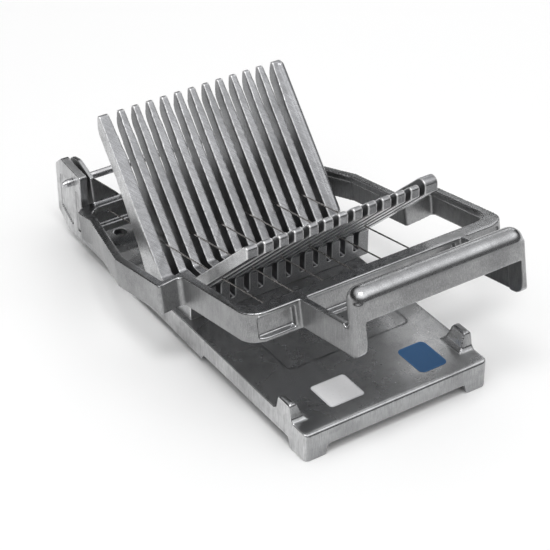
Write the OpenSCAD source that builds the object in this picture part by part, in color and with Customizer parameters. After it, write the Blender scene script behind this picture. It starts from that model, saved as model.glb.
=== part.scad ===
// Wire slicer for blocks of cheese: a cast base, a finned V cradle, and a hinged arm strung with
// six wires that swings down between the fins.
// Origin on the sunken deck, midway between the axes of the two bolt holes. X runs to the right
// along the hinge rod, Y to the rear, Z up. The arm is drawn at the tilt where a block in the cradle
// holds it. Heights are given above the bench, and in_frame lowers every piece by the sunken deck's.

/* [Base casting] */
// Length of the base from the front skirt to the back of the hinge ears
base_l = 272; // [268:1:280]
// Height of the deck above the bench
deck_h = 17.7; // [17:0.1:18]
// Thickness of the deck plate
deck_t = 4.2; // [3.5:0.1:5]
// Thickness of the skirt walls
skirt_t = 4.5; // [3.5:0.1:6]
// Height of the arches between the feet
arch_h = 6.3; // [4:0.1:8]
// Length of the front feet along the side skirts
foot_l = 14.5; // [10:0.5:20]
// Width of the front feet along the front skirt
foot_w = 13; // [10:0.5:20]
// Height of the low pad half way along each side skirt
mid_pad_h = 3; // [1:0.1:5]
// Distance from the front skirt to the start of the low pad
mid_pad_y = 104; // [90:1:115]
// Length of the low pad
mid_pad_l = 10; // [6:0.5:14]
// Length of the slope behind the low pad
mid_pad_slope_l = 30; // [20:1:36]
// Height of the side skirts behind the low pad
rear_arch_h = 4.4; // [4:0.1:6]
// Height of the sunken deck under the arm's rear bar
well_h = 10.5; // [9:0.1:12]
// Distance from the front skirt to the start of the sunken deck
well_y = 186; // [180:0.5:188]
// Length of the slope down to the sunken deck
well_slope_l = 26; // [20:0.5:26]
// Distance from the back of the ears to the end of the sunken deck
rear_gap = 22; // [18:0.5:26]
// Thickness of the ribs under the deck
rib_t = 3.5; // [2.5:0.1:5]
// Height of the underside of the ribs above the bench
rib_h = 10.8; // [9.5:0.1:12]
// Radius of the round corners of the base, seen from above
base_corner_r = 3; // [1:0.5:5]
// Radius of the round front edge of the deck
front_edge_r = 2.4; // [1:0.1:3]
// Width of the bare panel sunk in the deck
panel_w = 82; // [70:1:90]
// Length of that panel
panel_l = 42; // [30:1:50]
// Depth of that panel
panel_d = 0.4; // [0.2:0.1:0.8]
// Radius of that panel's corners
panel_r = 4; // [2:0.5:8]
// Distance from the front skirt to that panel
panel_y = 52; // [46:1:56]
// Distance by which that panel stands to the right of the middle
panel_shift = 5; // [0:0.5:8]
// Diameter of the bolt holes in the sunken deck
bolt_hole_d = 7.5; // [6:0.1:8.5]
// Distance between the two bolt holes
bolt_spacing = 79; // [70:0.5:86]
// Distance from the back of the ears to the bolt holes
bolt_back = 40.4; // [38:0.2:43]
// Width of the rear feet under the sunken deck
rear_foot_w = 12; // [8:0.5:14]
// Length of the rear feet
rear_foot_l = 13; // [8:0.5:16]
// Distance from the side of the base to the rear feet
rear_foot_inset = 6; // [4:0.5:9]

/* [Corner lugs] */
// Height of the lugs near the front corners above the deck
lug_h = 10.3; // [8:0.1:13]
// Thickness of the lugs at their foot
lug_t = 7.8; // [6.5:0.1:9]
// Thickness of the lugs at their top
lug_top_t = 4.6; // [4:0.1:6]
// Length of the lugs at their foot
lug_l = 14; // [12.5:0.5:18]
// Length of the lugs at their top
lug_top_l = 10.5; // [8:0.5:12]
// Radius of the round top corners of a lug
lug_r = 2.2; // [1:0.1:2.4]
// Distance from the front skirt to the foot of a lug
lug_y = 14; // [8:0.5:20]
// Size of the fillet round the foot of a lug
lug_flare = 2; // [1:0.1:3]

/* [Hinge ears] */
// Thickness of the ears
ear_t = 5.4; // [5:0.1:7]
// Length of the ears along Y
ear_l = 31; // [30:0.5:32.5]
// Height of the front top corner of the ears above the rod
ear_front_rise = 6.9; // [5.5:0.1:9.5]
// Height of the peak of the ears above the rod
ear_peak_rise = 9.3; // [8.5:0.1:11.5]
// Distance from the back of the ears to their peak
ear_peak_back = 7.5; // [7:0.5:12]
// Height of the rear top corner of the ears above the rod
ear_back_rise = 2.9; // [0.5:0.1:4.5]
// Height of the rear lower corner of the ears
ear_heel_h = 14; // [10:0.5:18]
// Length of the slope under the rear lower corner
ear_heel_l = 12; // [8:0.5:16]
// Depth of the panels sunk in the outer face of the ears
ear_panel_d = 1.2; // [0.5:0.1:2]
// Width of the border and the rib beside the panels
ear_rib_w = 5; // [3:0.1:6]
// Radius of the panels' corners
ear_panel_r = 1; // [0.5:0.1:1.5]

/* [Hinge] */
// Diameter of the hinge rod
rod_d = 4.8; // [4:0.1:6]
// Height of the hinge rod above the bench
hinge_h = 43.5; // [42:0.1:45]
// Distance from the back of the ears to the hinge rod
hinge_back = 21.5; // [20.5:0.1:22.5]
// Length by which each end of the rod stands out of its ear
rod_out = 7.4; // [4:0.1:9]
// Radial clearance of the rod in the two lugs of the arm
rod_clearance = 0.05; // [0.02:0.01:0.09]
// Length of the rod's rounded tips
rod_tip_l = 4.8; // [3:0.1:6]

/* [Cradle casting] */
// Spacing of the comb plates, three eighths of an inch
pitch = 9.525; // [9.5:0.005:9.55]
// Thickness of the rear fins
fin_t = 4.7; // [4:0.1:5.5]
// Thickness of the lip plates
lip_t = 6.1; // [5:0.1:6.5]
// Distance from the end faces of the cradle to its middle
cradle_half = 61.5; // [61:0.1:62]
// Distance from the front skirt of the base to the front of the pedestal
pedestal_y = 120.4; // [119.5:0.1:121.5]
// Depth of the pedestal on the deck
pedestal_l = 46; // [43:0.5:47]
// Height of the bottom of the wire slots
slot_h = 23; // [21.5:0.1:24]
// Height of the flat bottom of the V
v_floor_h = 29.5; // [29:0.1:30.5]
// Distance from the front of the pedestal to the flat bottom of the V
v_front = 15.8; // [15:0.1:17]
// Length of the flat bottom of the V
v_floor_l = 14.7; // [13:0.1:16]
// Slope of the rear fins
fin_angle = 49; // [47:0.1:50]
// Height of the tips of the rear fins
fin_tip_h = 104; // [98:0.5:106]
// Depth of the rear fins at their tips
fin_tip_l = 6.4; // [5:0.1:8]
// Slope of the lip plates
lip_angle = 44; // [43:0.1:45]
// Distance from the front of the pedestal to the front of the lip
lip_reach = 59.7; // [56:0.1:60]
// Thickness of the lip square to its top
lip_depth = 9.2; // [8:0.1:10]
// Height of the upright front faces of the lip plates
lip_face_h = 9.4; // [8:0.1:10]
// Radius of the round corners of the lip plates' tips
lip_tip_r = 2.2; // [1:0.1:3]
// Radius of the round corners of the rear fins' tips
fin_tip_r = 2.4; // [1:0.1:2.8]
// Distance by which the lower ends of the pedestal slant in
pedestal_slant = 4.4; // [2:0.1:6]
// Height by which the right end plate of the lip stands above the others
end_lip_rise = 4.4; // [1:0.1:5]
// Distance by which that plate stands out beyond the end face
end_lip_out = 1.5; // [0.5:0.1:2]

/* [Arm casting] */
// Tilt of the arm above level, as it rests on a block in the cradle
arm_tilt = 11; // [9:0.5:13]
// Distance from the hinge down to the top of the ring, square to the ring
ring_top = 12.7; // [12.4:0.1:13]
// Height of the ring's walls
ring_h = 17.3; // [16:0.1:17.5]
// Distance from the hinge to the back of the ring's rear bar
rear_bar_u = 10; // [9.8:0.1:10.4]
// Thickness of the rear bar
rear_bar_t = 8.3; // [7:0.1:9]
// Distance from the hinge to the inner face of the front bar
front_bar_u = 199.3; // [199.2:0.1:201]
// Thickness of the front bar
front_bar_t = 10.2; // [9:0.1:11]
// Half width of the ring at the rear bar
ring_rear_half = 67.5; // [67:0.1:69]
// Half width of the ring where it bulges beside the cradle
ring_bulge_half = 83.2; // [82:0.1:85]
// Half width of the front part of the ring
ring_front_half = 86.1; // [85.5:0.1:87]
// Distance by which the front part of the ring stands to the right of the middle
ring_front_shift = 18.4; // [18:0.1:19]
// Distance from the hinge to the end of the straight rear part of the ring
ring_flare_start = 31; // [29:0.5:33]
// Distance from the hinge to the start of the straight bulge
ring_flare_end = 92; // [90:0.5:95]
// Distance from the hinge to the front of the bulge
ring_jog_u = 142; // [139:0.5:145]
// Distance by which the fronts of the bulges slant back, from left to right
ring_jog_slant = 3; // [1:0.1:4]
// Thickness of the ring's walls below their rims
ring_wall_t = 3.4; // [2.8:0.1:4]
// Width of the rims along the tops of the walls
ring_rim_w = 5.3; // [4.5:0.1:6]
// Height of the rims
ring_rim_h = 4.2; // [3:0.1:5]
// Radius of the ring's front outer corners
ring_corner_r = 12; // [8:0.5:14]
// Radius of the ring's front inner corners
ring_inner_corner_r = 11; // [6:0.5:13]
// Radius of the bends of the side walls
ring_bend_r = 6; // [3:0.5:9]
// Height of the ledge along the foot of the rear bar's inner face
ledge_h = 5.5; // [4:0.1:7]
// Distance by which the rear bar's inner face is set back between its rim and the ledge
ledge_w = 2.6; // [1:0.1:3]
// Depth of the pockets in the front face of the front bar
pocket_d = 3.4; // [2:0.1:4]
// Height of the rim above the pockets
pocket_rim = 3.4; // [2.5:0.1:4.5]
// Height of the flange below the pockets
pocket_flange = 3.2; // [2.5:0.1:4.5]
// Width of the solid bar on either side of each handle web
pocket_gap = 3.6; // [2:0.1:5]

/* [Handle] */
// Distance between the outer faces of the handle webs
handle_w = 110.4; // [108:0.2:112]
// Distance by which the handle stands to the right of the middle
handle_shift = 19.4; // [18.5:0.1:20]
// Thickness of the handle webs
web_t = 4; // [3:0.1:5]
// Thickness of the posts at the front of the webs
post_t = 4.8; // [4:0.1:8]
// Radius of the round top of the handle bar
grip_r = 7.3; // [7:0.1:8]
// Distance from the hinge to the middle of the handle bar
grip_u = 256.8; // [256:0.1:258]
// Height of the middle of the round top above the hinge, square to the ring
grip_up = 1.8; // [1:0.1:3]
// Height of the flat band of the handle bar under its round top
grip_band = 10.2; // [9:0.1:11]
// Depth of the posts from back to front
post_l = 12.6; // [11:0.1:13.5]
// Radius of the round foot of the posts
post_foot_r = 9; // [7:0.1:10]

/* [Arm lugs] */
// Thickness of the two lugs that carry the rod
arm_lug_t = 2.8; // [2.5:0.1:4]
// Gap between each ear of the base and the lug inside it
arm_lug_gap = 1.2; // [0.8:0.1:1.5]
// Height of the round top of the lugs above the rod
arm_lug_top = 11.6; // [11:0.1:13]
// Length by which the lugs reach behind the rod
arm_lug_back = 14.4; // [12:0.1:15]
// Height of the front shoulder of the lugs above the rod
arm_lug_shoulder = 3.4; // [3:0.1:5]
// Radius of the round corners of the lugs
arm_lug_r = 6; // [4:0.1:6.2]
// Length of the gusset that braces each lug from the rear bar
gusset_l = 13; // [8:0.5:15]
// Height of the low end of the gussets above the ring
gusset_foot_h = 3; // [1:0.1:4]
// Thickness of the gussets
gusset_t = 2; // [1.6:0.1:3]

/* [Wires] */
// Diameter of the cutting wires
wire_d = 0.9; // [0.6:0.05:1.2]
// Distance from the hinge down to the wires, square to the ring
wire_down = 17.2; // [16.6:0.1:17.6]
// Diameter of the sleeve crimped on the front end of each wire
sleeve_d = 2.6; // [2:0.1:3]
// Length of the sleeves
sleeve_l = 5; // [4:0.1:6]
// Clearance round the sleeves, the wires and the studs in their holes
wire_clearance = 0.15; // [0.1:0.01:0.3]
// Diameter of the set screws that grip the sleeves
set_screw_d = 3; // [2.5:0.1:4]
// Diameter of the tension studs in the rear bar
stud_d = 3; // [2.5:0.1:3.5]
// Length by which the studs stand out behind the rear bar
stud_out = 4.4; // [3.6:0.1:5]
// Width of the tension nuts across their flats
nut_w = 5.5; // [5:0.1:6.5]
// Gap between the outer nuts and the lugs beside them
nut_gap = 0.5; // [0.4:0.1:1]
// Thickness of the tension nuts
nut_t = 2.8; // [2.4:0.1:3.6]

/* [Cradle screws] */
// Diameter of the screws that hold the cradle down
cradle_screw_d = 4; // [3.5:0.1:4.5]
// Diameter of their heads
cradle_head_d = 8; // [7:0.1:9]
// Height of their heads
cradle_head_h = 3.2; // [2.5:0.1:3.4]
// Diameter of the bosses under the deck that they pass through
cradle_boss_d = 12; // [10:0.1:14]
// Depth of the screws in the cradle
cradle_screw_in = 7.5; // [6:0.1:9]
// Clearance round the screws in the deck and the cradle
screw_clearance = 0.1; // [0.05:0.01:0.2]

/* [Hidden] */

$fn = 48;
// Overlap that joins two shapes, or runs a cut past a face
lap = 0.5;
wire_count = 6;
plate_count = 2 * wire_count + 1;
// Straight pieces in each round corner of an outline
corner_steps = 6;

back_y = bolt_back;
front_y = back_y - base_l;
hinge_y = back_y - hinge_back;
tray_back_y = back_y - rear_gap;
well_start_y = front_y + well_y;
ear_front_y = back_y - ear_l;
ear_front_h = hinge_h + ear_front_rise;
ear_peak_h = hinge_h + ear_peak_rise;
ear_back_h = hinge_h + ear_back_rise;
rod_r = rod_d / 2;

// The wires set the width of the base: outside the outer nuts stand the arm's lugs, and outside
// those the ears
lug_inner_x = wire_x(wire_count - 1) + nut_w / 2 + nut_gap;
lug_outer_x = lug_inner_x + arm_lug_t;
ear_inner_x = lug_outer_x + arm_lug_gap;
base_half = ear_inner_x + ear_t;
base_w = 2 * base_half;

// The cradle stands half a pitch to the right, so that every wire falls in a slot
cradle_x = pitch / 2;
ped_front_y = front_y + pedestal_y;
v_front_y = ped_front_y + v_front;
v_rear_y = v_front_y + v_floor_l;
lip_front_y = ped_front_y - lip_reach;
lip_top_h = v_floor_h + (v_front_y - lip_front_y) * tan(lip_angle);
fin_tip_y = v_rear_y + (fin_tip_h - v_floor_h) / tan(fin_angle);
fin_back_y = ped_front_y + pedestal_l;
end_fin_x = plate_count * pitch / 2 - pitch / 2;
// The screws stand under the plates that are this many from the middle one
screw_plate = 4;

ring_bottom = ring_top + ring_h;
ring_front_u = front_bar_u + front_bar_t;
// Shares of the rear bar's thickness where the wires start and the studs end
wire_start_share = 0.33;
stud_end_share = 0.67;
wire_start_u = rear_bar_u + rear_bar_t * wire_start_share;
stud_end_u = rear_bar_u + rear_bar_t * stud_end_share;
// Share of the rear bar's thickness that the chamfers of its outer corners take
rear_chamfer_share = 0.8;
handle_half = handle_w / 2;
// Share of a post's half depth that its round outer edges take
post_round_share = 0.75;
// Shares of the rod's radius and of its tip's length where the tip bends
tip_radius_shares = [0.9, 0.55];
tip_length_shares = [0.4, 0.85];
// The posts' fronts stand half way between the grip's front and the front of a centred post
post_front_u = grip_u + (grip_r + post_l / 2) / 2;
grip_bottom = grip_up - grip_band;

function unit(v) = v / norm(v);

// The arc that rounds corner b = [x, y, radius] between its neighbours a and c
function corner_arc(a, b, c) =
    b[2] <= 0 ? [[b[0], b[1]]] :
    let (corner = [b[0], b[1]],
         to_a = unit([a[0], a[1]] - corner),
         to_c = unit([c[0], c[1]] - corner),
         half = acos(to_a * to_c) / 2,
         centre = corner + unit(to_a + to_c) * b[2] / sin(half),
         start = corner + to_a * b[2] / tan(half) - centre,
         end = corner + to_c * b[2] / tan(half) - centre,
         start_angle = atan2(start[1], start[0]),
         turn = atan2(start[0] * end[1] - start[1] * end[0], start * end))
    [for (i = [0:corner_steps])
        let (angle = start_angle + turn * i / corner_steps)
        centre + b[2] * [cos(angle), sin(angle)]];

// An outline whose corners are [x, y, radius]
function rounded(corners) =
    let (n = len(corners))
    [for (i = [0:n - 1])
        each corner_arc(corners[(i + n - 1) % n], corners[i], corners[(i + 1) % n])];

// Draws a [y, z] outline and extrudes it along X between two places
module across(from, to) {
    translate([from, 0, 0])
        rotate([90, 0, 90])
            linear_extrude(to - from) children();
}

// Lowers a piece drawn above the bench, so that the origin lies on the sunken deck
module in_frame() {
    translate([0, 0, -well_h]) children();
}

// Places the arm's own frame, with the hinge as its origin and -Y towards the handle
module in_arm() {
    in_frame()
        translate([0, hinge_y, hinge_h])
            rotate([-arm_tilt, 0, 0]) children();
}

// A cylinder along X, centred on the arm's or the base's hinge line
module along_x(r, from, to) {
    translate([from, 0, 0])
        rotate([0, 90, 0]) cylinder(r = r, h = to - from);
}

// A cylinder along -Y in the arm's frame, from one distance from the hinge to another
module along_u(r, from, to) {
    translate([0, -from, 0])
        rotate([90, 0, 0]) cylinder(r = r, h = to - from);
}

// Places a copy of a piece at the X place of each wire
module at_wires() {
    for (i = [0:wire_count - 1])
        translate([wire_x(i), 0, 0]) children();
}

function wire_x(i) = (2 * i - (wire_count - 1)) * pitch;

// Base casting

// Outline of the tray from the side
module tray_outline() {
    slope = arch_h / 3;
    polygon(rounded([
        [front_y, 0, 0],
        [front_y + foot_l, 0, 0],
        [front_y + foot_l + slope, arch_h, slope],
        [front_y + mid_pad_y - slope, arch_h, slope],
        [front_y + mid_pad_y, mid_pad_h, 0],
        [front_y + mid_pad_y + mid_pad_l, mid_pad_h, 0],
        [front_y + mid_pad_y + mid_pad_l + mid_pad_slope_l, rear_arch_h, 0],
        [tray_back_y, rear_arch_h, 0],
        [tray_back_y, well_h, 0],
        [well_start_y + well_slope_l, well_h, well_slope_l / 2],
        [well_start_y, deck_h, well_slope_l / 2],
        [front_y, deck_h, front_edge_r]]));
}

// Footprint of the tray with its round corners
module footprint(inset) {
    r = max(base_corner_r - inset, base_corner_r / 2);
    polygon(rounded([
        [-base_half + inset, front_y + inset, r],
        [base_half - inset, front_y + inset, r],
        [base_half - inset, tray_back_y - inset, 0],
        [-base_half + inset, tray_back_y - inset, 0]]));
}

module tray() {
    intersection() {
        across(-base_half, base_half) tray_outline();
        linear_extrude(deck_h + lap) footprint(0);
    }
}

// The hollow under the deck, between the skirts
module tray_hollow() {
    intersection() {
        translate([0, 0, -lap]) linear_extrude(deck_h) footprint(skirt_t);
        across(-base_half, base_half)
            polygon([
                [front_y, -lap],
                [tray_back_y, -lap],
                [tray_back_y, well_h - deck_t],
                [well_start_y + well_slope_l - deck_t, well_h - deck_t],
                [well_start_y - deck_t, deck_h - deck_t],
                [front_y, deck_h - deck_t]]);
    }
}

// The arch between the two front feet
module front_arch() {
    half = base_half - foot_w;
    slope = arch_h / 3;
    translate([0, front_y + skirt_t + lap, 0])
        rotate([90, 0, 0])
            linear_extrude(skirt_t + 2 * lap)
                polygon(rounded([
                    [-half, -lap, 0],
                    [half, -lap, 0],
                    [half - slope, arch_h, slope],
                    [-half + slope, arch_h, slope]]));
}

// Ribs under the deck: two lengthwise, three crosswise
module deck_ribs() {
    top = deck_h - deck_t + lap;
    length = well_start_y - deck_t - front_y;
    for (side = [-1, 1])
        translate([side * base_half / 3 - rib_t / 2, front_y + lap, rib_h])
            cube([rib_t, length, top - rib_h]);
    for (i = [1:3])
        translate([-base_half + lap, front_y + i * length / 4, rib_h])
            cube([base_w - 2 * lap, rib_t, top - rib_h]);
}

// Outline of a hinge ear from the side
module ear_outline() {
    polygon(rounded([
        [ear_front_y, rear_arch_h, 0],
        [back_y - ear_heel_l, rear_arch_h, 0],
        [back_y, ear_heel_h, ear_rib_w / 2],
        [back_y, ear_back_h, ear_rib_w / 2],
        [back_y - ear_peak_back, ear_peak_h, ear_rib_w / 2],
        [ear_front_y, ear_front_h, ear_rib_w / 4]]));
}

// The two panels sunk in the outer face of an ear, behind the border and beside the rod's rib
module ear_panels() {
    rib_back_y = hinge_y + ear_rib_w / 2;
    polygon(rounded([
        [rib_back_y, well_h, ear_panel_r],
        [back_y - ear_rib_w, ear_heel_h + ear_rib_w, ear_panel_r],
        [back_y - ear_rib_w, ear_back_h - ear_rib_w, ear_panel_r],
        [rib_back_y, ear_back_h - ear_rib_w, ear_panel_r]]));
    polygon(rounded([
        [ear_front_y + ear_rib_w / 2, well_h, ear_panel_r],
        [hinge_y - ear_rib_w / 2, well_h, ear_panel_r],
        [hinge_y - ear_rib_w / 2, hinge_h - ear_rib_w, ear_panel_r],
        [ear_front_y + ear_rib_w / 2, hinge_h - ear_rib_w, ear_panel_r]]));
}

// The bare panel sunk in the deck behind the labels
module deck_panel() {
    half = panel_w / 2;
    translate([panel_shift, front_y + panel_y, deck_h - panel_d])
        linear_extrude(panel_d + lap)
            polygon(rounded([
                [-half, 0, panel_r],
                [half, 0, panel_r],
                [half, panel_l, panel_r],
                [-half, panel_l, panel_r]]));
}

module hinge_ears() {
    for (side = [0, 1])
        mirror([side, 0, 0])
            difference() {
                across(ear_inner_x, base_half) ear_outline();
                across(base_half - ear_panel_d, base_half + lap) ear_panels();
            }
}

// Tapered lugs near the front corners, round at the top and filleted at the foot
module corner_lugs() {
    foot_y = front_y + lug_y;
    taper = (lug_l - lug_top_l) / 2;
    for (side = [0, 1])
        mirror([side, 0, 0])
            intersection() {
                across(base_half - lug_t - lug_flare, base_half)
                    polygon(rounded([
                        [foot_y - lug_flare, deck_h - lap, 0],
                        [foot_y - lug_flare, deck_h, 0],
                        [foot_y, deck_h + lug_flare, lug_flare / 2],
                        [foot_y + taper, deck_h + lug_h, lug_r],
                        [foot_y + lug_l - taper, deck_h + lug_h, lug_r],
                        [foot_y + lug_l, deck_h + lug_flare, lug_flare / 2],
                        [foot_y + lug_l + lug_flare, deck_h, 0],
                        [foot_y + lug_l + lug_flare, deck_h - lap, 0]]));
                translate([base_half, foot_y + 2 * lug_l, deck_h])
                    rotate([90, 0, 0])
                        linear_extrude(3 * lug_l)
                            polygon(rounded([
                                [0, -lap, 0],
                                [0, lug_h, lug_r],
                                [-lug_top_t, lug_h, lug_r],
                                [-lug_t, lug_flare, lug_flare / 2],
                                [-lug_t - lug_flare, 0, 0],
                                [-lug_t - lug_flare, -lap, 0]]));
            }
}

module rear_feet() {
    for (side = [0, 1])
        mirror([side, 0, 0])
            translate([base_half - rear_foot_inset - rear_foot_w, tray_back_y - rear_foot_l - lap, 0])
                cube([rear_foot_w, rear_foot_l, well_h - lap]);
}

// Places a copy at each screw that holds the cradle down
module at_cradle_screws() {
    for (x = [-1, 1], y = [ped_front_y + pedestal_l / 6, fin_back_y - pedestal_l / 6])
        translate([cradle_x + x * screw_plate * pitch, y, 0]) children();
}

module base_casting() {
    color("dimgray")
        in_frame()
            difference() {
                union() {
                    difference() {
                        tray();
                        tray_hollow();
                        front_arch();
                    }
                    deck_ribs();
                    hinge_ears();
                    corner_lugs();
                    rear_feet();
                    at_cradle_screws()
                        translate([0, 0, rib_h]) cylinder(d = cradle_boss_d, h = deck_h - rib_h - lap);
                }
                at_cradle_screws()
                    translate([0, 0, -lap])
                        cylinder(d = cradle_screw_d + 2 * screw_clearance, h = deck_h + 2 * lap);
                for (side = [-1, 1])
                    translate([side * bolt_spacing / 2, back_y - bolt_back, -lap])
                        cylinder(d = bolt_hole_d, h = deck_h);
                translate([0, hinge_y, hinge_h]) along_x(rod_r, -base_w, base_w);
                deck_panel();
            }
}

// Cradle casting

// Outline of the pedestal and the lip from the side
module lip_outline() {
    // Height where the underside of the lip meets the front of the pedestal
    under_h = lip_top_h - lip_face_h - lip_reach * tan(lip_angle);
    polygon(rounded([
        [ped_front_y, deck_h, 0],
        [v_rear_y, deck_h, 0],
        [v_rear_y, v_floor_h, 0],
        [v_front_y, v_floor_h, 0],
        [lip_front_y, lip_top_h, lip_tip_r],
        [lip_front_y, lip_top_h - lip_face_h, lip_tip_r / 2],
        [ped_front_y, under_h, lip_depth / 2]]));
}

// Outline of a rear fin from the side
module fin_outline() {
    // Shares of the fin's height and of its overhang where its back bends
    low_height_share = 0.22;
    low_reach_share = 0.18;
    high_height_share = 0.62;
    high_reach_share = 0.59;
    rise = fin_tip_h - deck_h;
    back_reach = fin_tip_y + fin_tip_l - fin_back_y;
    polygon(rounded([
        [v_front_y, deck_h, 0],
        [fin_back_y, deck_h, 0],
        [fin_back_y + low_reach_share * back_reach, deck_h + low_height_share * rise, 0],
        [fin_back_y + high_reach_share * back_reach, deck_h + high_height_share * rise, 0],
        [fin_tip_y + fin_tip_l, fin_tip_h - fin_tip_r, fin_tip_r],
        [fin_tip_y, fin_tip_h, fin_tip_r / 2],
        [v_rear_y, v_floor_h, 0],
        [v_front_y, v_floor_h, 0]]));
}

module cradle_plates() {
    for (i = [0:plate_count - 1])
        translate([(i - (plate_count - 1) / 2) * pitch, 0, 0]) {
            across(-lip_t / 2, lip_t / 2) lip_outline();
            across(-fin_t / 2, fin_t / 2) fin_outline();
        }
    // The end plates are thicker outwards
    for (side = [0, 1])
        mirror([side, 0, 0]) {
            across(end_fin_x, cradle_half) lip_outline();
            across(end_fin_x, cradle_half) fin_outline();
        }
    across(end_fin_x - lip_t / 2, cradle_half + end_lip_out) end_lip_outline();
}

// The raised rim of the lip's right end plate
module end_lip_outline() {
    start_y = v_front_y - end_lip_rise;
    polygon(rounded([
        [start_y, v_floor_h, 0],
        [start_y - end_lip_rise, v_floor_h + 2 * end_lip_rise * tan(lip_angle) + end_lip_rise, end_lip_rise],
        [lip_front_y, lip_top_h + end_lip_rise, end_lip_rise],
        [lip_front_y, lip_top_h - lip_face_h, lip_tip_r / 2]]));
}

// Outline of the whole cradle from the front, slanted in where it stands on the deck
module cradle_front_outline() {
    top = fin_tip_h + end_lip_rise + lap;
    foot_half = cradle_half - pedestal_slant;
    translate([0, fin_tip_y + 2 * fin_tip_l, 0])
        rotate([90, 0, 0])
            linear_extrude(base_l)
                polygon(rounded([
                    [-foot_half, deck_h, 0],
                    [foot_half, deck_h, 0],
                    [cradle_half, deck_h + pedestal_slant, pedestal_slant / 2],
                    [cradle_half, v_floor_h, 0],
                    [cradle_half + end_lip_out, v_floor_h, 0],
                    [cradle_half + end_lip_out, top, 0],
                    [-cradle_half, top, 0],
                    [-cradle_half, deck_h + pedestal_slant, pedestal_slant / 2]]));
}

// The slab that joins the plates, up to the bottom of the wire slots
module pedestal() {
    across(-cradle_half, cradle_half)
        polygon([
            [ped_front_y, deck_h],
            [fin_back_y, deck_h],
            [fin_back_y, slot_h],
            [ped_front_y, slot_h]]);
}

module cradle_casting() {
    hole_h = cradle_screw_in + lap + screw_clearance;
    color("silver")
        in_frame()
            difference() {
                translate([cradle_x, 0, 0])
                    intersection() {
                        union() {
                            cradle_plates();
                            pedestal();
                        }
                        cradle_front_outline();
                    }
                at_cradle_screws()
                    translate([0, 0, deck_h - lap])
                        cylinder(d = cradle_screw_d + 2 * screw_clearance, h = hole_h);
            }
}

// Arm casting

// Outline of the ring from above. The inset is the wall's thickness at the sides; the bars
// at the back and the front have their own.
module ring_outline(inset, back, front) {
    rear_half = ring_rear_half - inset;
    bulge_half = ring_bulge_half - inset;
    front_left = ring_front_shift - ring_front_half + inset;
    front_right = ring_front_shift + ring_front_half - inset;
    chamfer = rear_bar_t * rear_chamfer_share;
    bend = ring_bend_r;
    corner = inset > 0 ? ring_inner_corner_r : ring_corner_r;
    small = bend / 4;
    rear_corner = inset > 0 ? bend : small;
    left_jog = -ring_jog_u + inset;
    right_jog = -ring_jog_u - inset;
    polygon(rounded([
        [-rear_half + chamfer, -back, rear_corner],
        [-rear_half, -back - chamfer, rear_corner],
        [-rear_half, -ring_flare_start, bend],
        [-bulge_half, -ring_flare_end, bend],
        [-bulge_half, left_jog, small],
        [front_left, left_jog + ring_jog_slant, bend / 2],
        [front_left, -front, corner],
        [front_right, -front, corner],
        [front_right, right_jog + ring_jog_slant, small],
        [bulge_half, right_jog, small],
        [bulge_half, -ring_flare_end, bend],
        [rear_half, -ring_flare_start, bend],
        [rear_half, -back - chamfer, rear_corner],
        [rear_half - chamfer, -back, rear_corner]]));
}

module ring() {
    rear_u = rear_bar_u + rear_bar_t;
    difference() {
        translate([0, 0, -ring_bottom])
            linear_extrude(ring_h) ring_outline(0, rear_bar_u, ring_front_u);
        translate([0, 0, -ring_bottom - lap])
            linear_extrude(ring_h + 2 * lap) ring_outline(ring_rim_w, rear_u, front_bar_u);
        translate([0, 0, -ring_bottom - lap])
            linear_extrude(ring_h - ring_rim_h + lap) ring_outline(ring_wall_t, rear_u - ledge_w, front_bar_u);
        front_pockets();
    }
    // The ledge along the foot of the rear bar
    across(-ring_rear_half + ring_wall_t, ring_rear_half - ring_wall_t)
        polygon([
            [-rear_u + ledge_w + lap, -ring_bottom],
            [-rear_u + ledge_w + lap, -ring_bottom + ledge_h],
            [-rear_u + ledge_w, -ring_bottom + ledge_h],
            [-rear_u, -ring_bottom + ledge_h - ledge_w / 2],
            [-rear_u, -ring_bottom]]);
}

// The three pockets in the front face of the front bar, between a rim and a flange
module front_pockets() {
    left_web = handle_shift - handle_half;
    right_web = handle_shift + handle_half;
    left_end = ring_front_shift - ring_front_half + ring_corner_r / 2;
    right_end = ring_front_shift + ring_front_half - ring_corner_r / 2;
    pocket(left_end, left_web - pocket_gap);
    pocket(left_web + web_t + pocket_gap, right_web - web_t - pocket_gap);
    pocket(right_web + pocket_gap, right_end);
}

module pocket(from, to) {
    low = -ring_bottom + pocket_flange;
    high = -ring_top - pocket_rim;
    across(from, to)
        polygon(rounded([
            [-ring_front_u + pocket_d, low, pocket_d / 3],
            [-ring_front_u + pocket_d, high, pocket_d / 2],
            [-ring_front_u - lap, high + pocket_d / 3, 0],
            [-ring_front_u - lap, low - pocket_d / 3, 0]]));
}

// Outline of a handle web from the side, without its post
module web_outline() {
    notch_u = post_front_u - post_l;
    polygon(rounded([
        [-front_bar_u - front_bar_t / 2, -ring_top, 0],
        [-notch_u + web_t / 2, -ring_top, 0],
        [-notch_u, -ring_top - web_t / 2, 0],
        [-notch_u - post_l / 2, -ring_top, 0],
        [-notch_u - post_l / 2, -ring_bottom, 0],
        [-front_bar_u - front_bar_t / 2, -ring_bottom, 0]]));
}

// Outline of a post from the side
module post_outline() {
    notch_u = post_front_u - post_l;
    polygon(rounded([
        [-notch_u, -ring_top - web_t, 0],
        [-notch_u, grip_up, 0],
        [-post_front_u, grip_up, 0],
        [-post_front_u, -ring_bottom, post_foot_r],
        [-notch_u, -ring_bottom, 0]]));
}

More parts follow.
